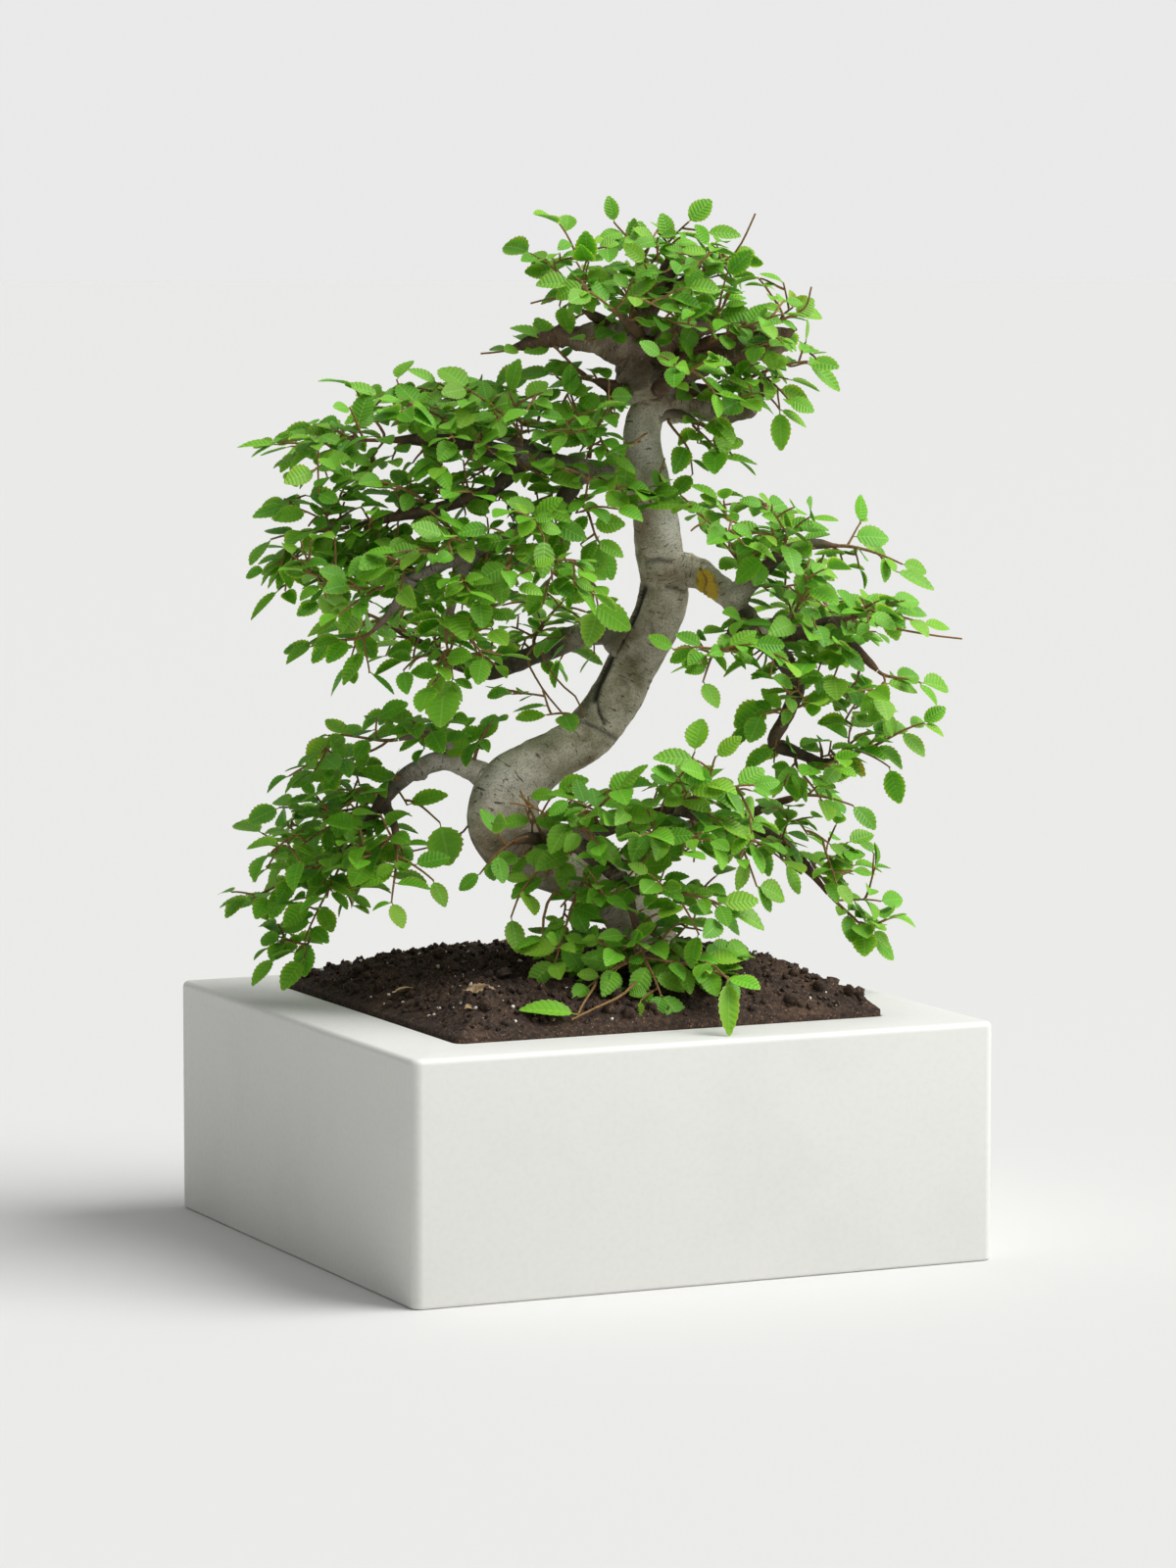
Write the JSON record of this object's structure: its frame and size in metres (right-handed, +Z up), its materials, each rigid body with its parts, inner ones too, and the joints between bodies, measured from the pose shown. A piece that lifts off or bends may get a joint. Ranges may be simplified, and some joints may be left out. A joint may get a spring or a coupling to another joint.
{
  "type": "potted zelkova bonsai tree",
  "caption": "Small zelkova bonsai with an S-shaped trunk, spreading limbs and toothed leaves, rooted in a soil mound in a square white planter with a flat rim.",
  "frame": {"origin": "middle of the planter's flat underside", "axes": "+X along the planter's front from left to right, +Y from its front to its back, +Z up the tree"},
  "size_m": [0.3296, 0.3, 0.5088],
  "materials": {
    "pot": "satin",
    "screen": "matte",
    "soil": "matte",
    "bark": "matte",
    "leaf": "satin"
  },
  "bodies": {
    "root": {"pot": "pot", "drain_screen_1": "screen", "drain_screen_2": "screen", "soil": "soil", "trunk_and_limbs": "bark", "spray_back_left_1": "leaf", "spray_back_left_2": "leaf", "spray_back_left_3": "leaf", "spray_crown_back_1": "leaf", "spray_crown_front_1": "leaf", "spray_crown_front_left_1": "leaf", "spray_crown_left_1": "leaf", "spray_crown_left_low_1": "leaf", "spray_crown_right_1": "leaf", "spray_crown_right_2": "leaf", "spray_crown_right_low_1": "leaf", "spray_crown_top_right_1": "leaf", "spray_front_left_1": "leaf", "spray_front_left_2": "leaf", "spray_front_left_3": "leaf", "spray_front_left_4": "leaf", "spray_front_left_drop_1": "leaf", "spray_front_left_low_1": "leaf", "spray_front_low_1": "leaf", "spray_front_low_2": "leaf", "spray_front_low_hanging_1": "leaf", "spray_front_low_left_1": "leaf", "spray_front_low_middle_1": "leaf", "spray_front_low_middle_2": "leaf", "spray_front_low_right_1": "leaf", "spray_low_left_1": "leaf", "spray_low_left_2": "leaf", "spray_low_left_3": "leaf", "spray_low_left_back_1": "leaf", "spray_low_left_front_1": "leaf", "spray_low_left_top_1": "leaf", "spray_low_right_1": "leaf", "spray_low_right_2": "leaf", "spray_low_right_top_1": "leaf", "spray_middle_left_1": "leaf", "spray_middle_left_2": "leaf", "spray_right_1": "leaf", "spray_right_2": "leaf", "spray_right_back_1": "leaf", "spray_right_end_1": "leaf", "spray_right_front_1": "leaf", "spray_right_low_1": "leaf", "spray_right_low_2": "leaf", "spray_right_low_3": "leaf", "spray_right_top_1": "leaf", "spray_right_top_2": "leaf", "spray_right_top_3": "leaf", "spray_small_right_1": "leaf", "spray_trunk_1": "leaf", "spray_trunk_2": "leaf", "spray_upper_left_1": "leaf", "spray_upper_left_2": "leaf", "spray_upper_left_3": "leaf", "spray_upper_left_4": "leaf", "spray_upper_left_back_1": "leaf"}
  },
  "joints": []
}
